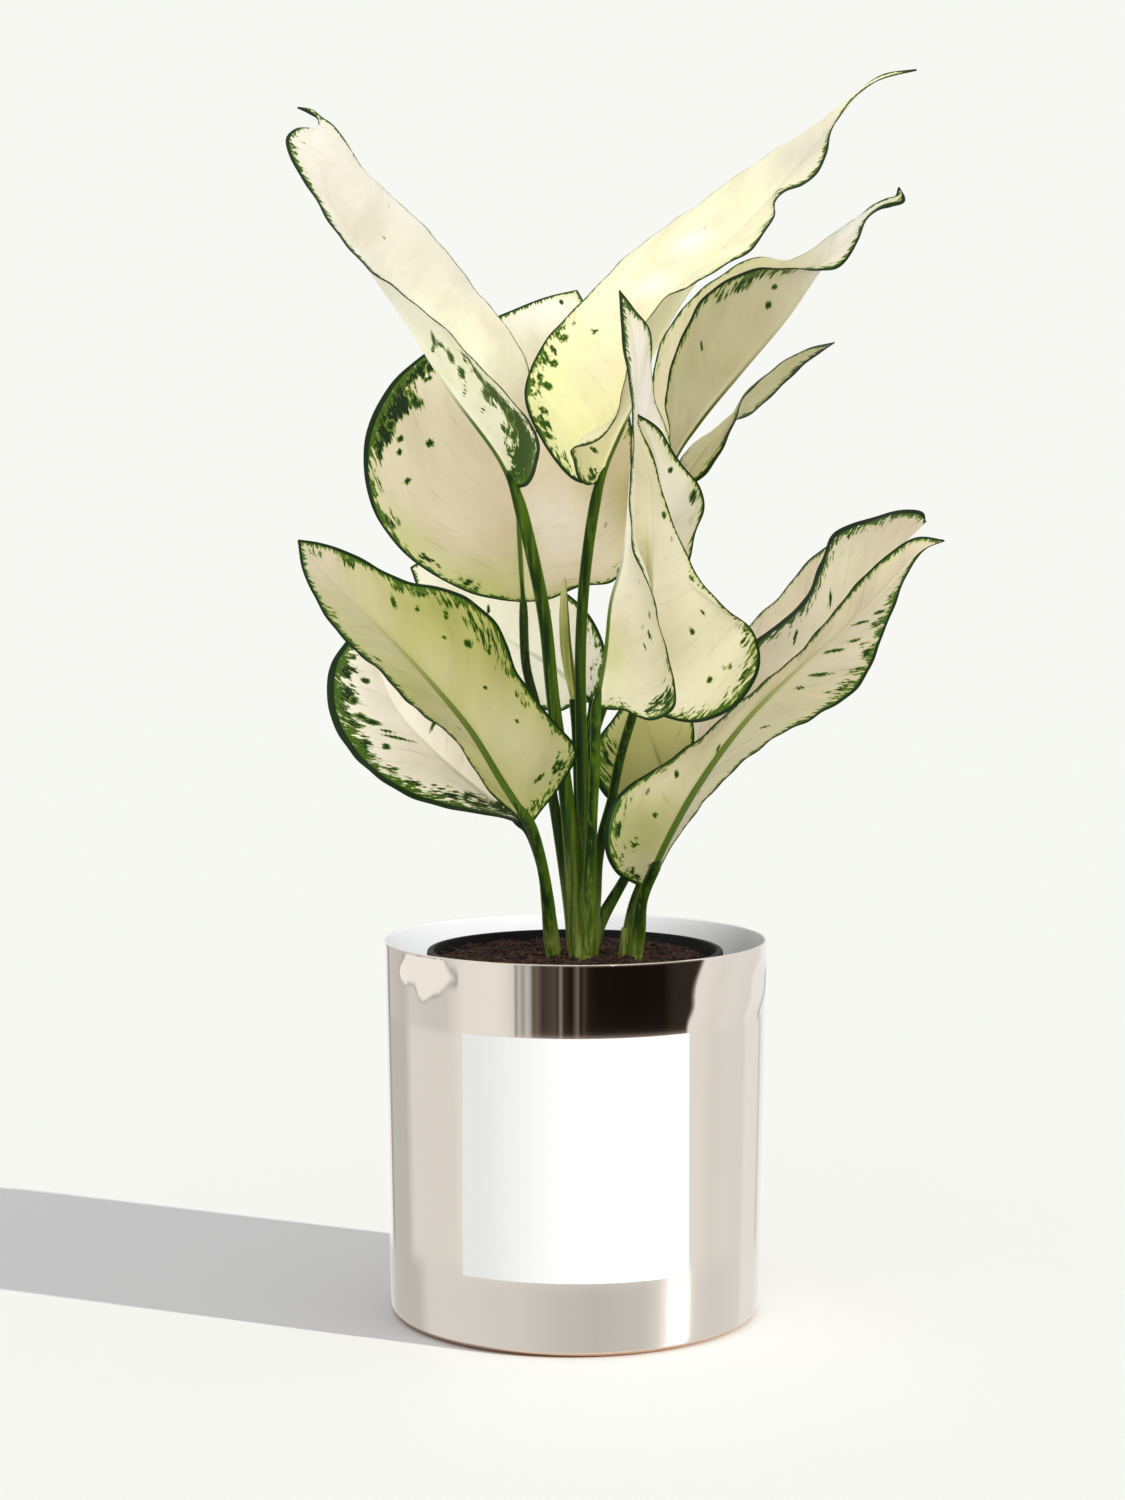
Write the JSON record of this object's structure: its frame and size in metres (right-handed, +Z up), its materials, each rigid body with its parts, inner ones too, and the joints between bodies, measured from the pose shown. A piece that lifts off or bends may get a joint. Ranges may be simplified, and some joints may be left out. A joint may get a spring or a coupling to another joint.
{
  "type": "potted chinese evergreen",
  "caption": "Chinese evergreen with broad cream leaves edged in green, growing in a plastic nursery pot inside a round polished metal outer pot with a blank paper label.",
  "frame": {"origin": "middle of the outer pot's flat base, on the surface it stands on", "axes": "+Z up through the pot, -Y towards the label and the camera, +X to the camera's right"},
  "size_m": [0.229, 0.1466, 0.4485],
  "materials": {
    "polished_metal": "polished",
    "black_plastic": "satin",
    "label_paper": "matte",
    "soil": "matte",
    "stalk": "satin",
    "young_leaf": "satin",
    "leaf": "satin"
  },
  "bodies": {
    "root": {"cachepot": "polished_metal", "nursery_pot": "black_plastic", "label": "label_paper", "soil": "soil", "stems_centre": "stalk", "stem_left": "stalk", "stem_right": "stalk", "new_leaf": "young_leaf", "leaf_top_left": "leaf", "leaf_top_right": "leaf", "leaf_back_round": "leaf", "leaf_right_upper": "leaf", "leaf_front_tall": "leaf", "leaf_front_lobed": "leaf", "leaf_front_inner": "leaf", "leaf_right_slim": "leaf", "leaf_left_low": "leaf", "leaf_left_low_back": "leaf", "leaf_back_pink": "leaf", "leaf_right_low": "leaf", "leaf_right_low_back": "leaf", "leaf_back_small": "leaf"}
  },
  "joints": []
}
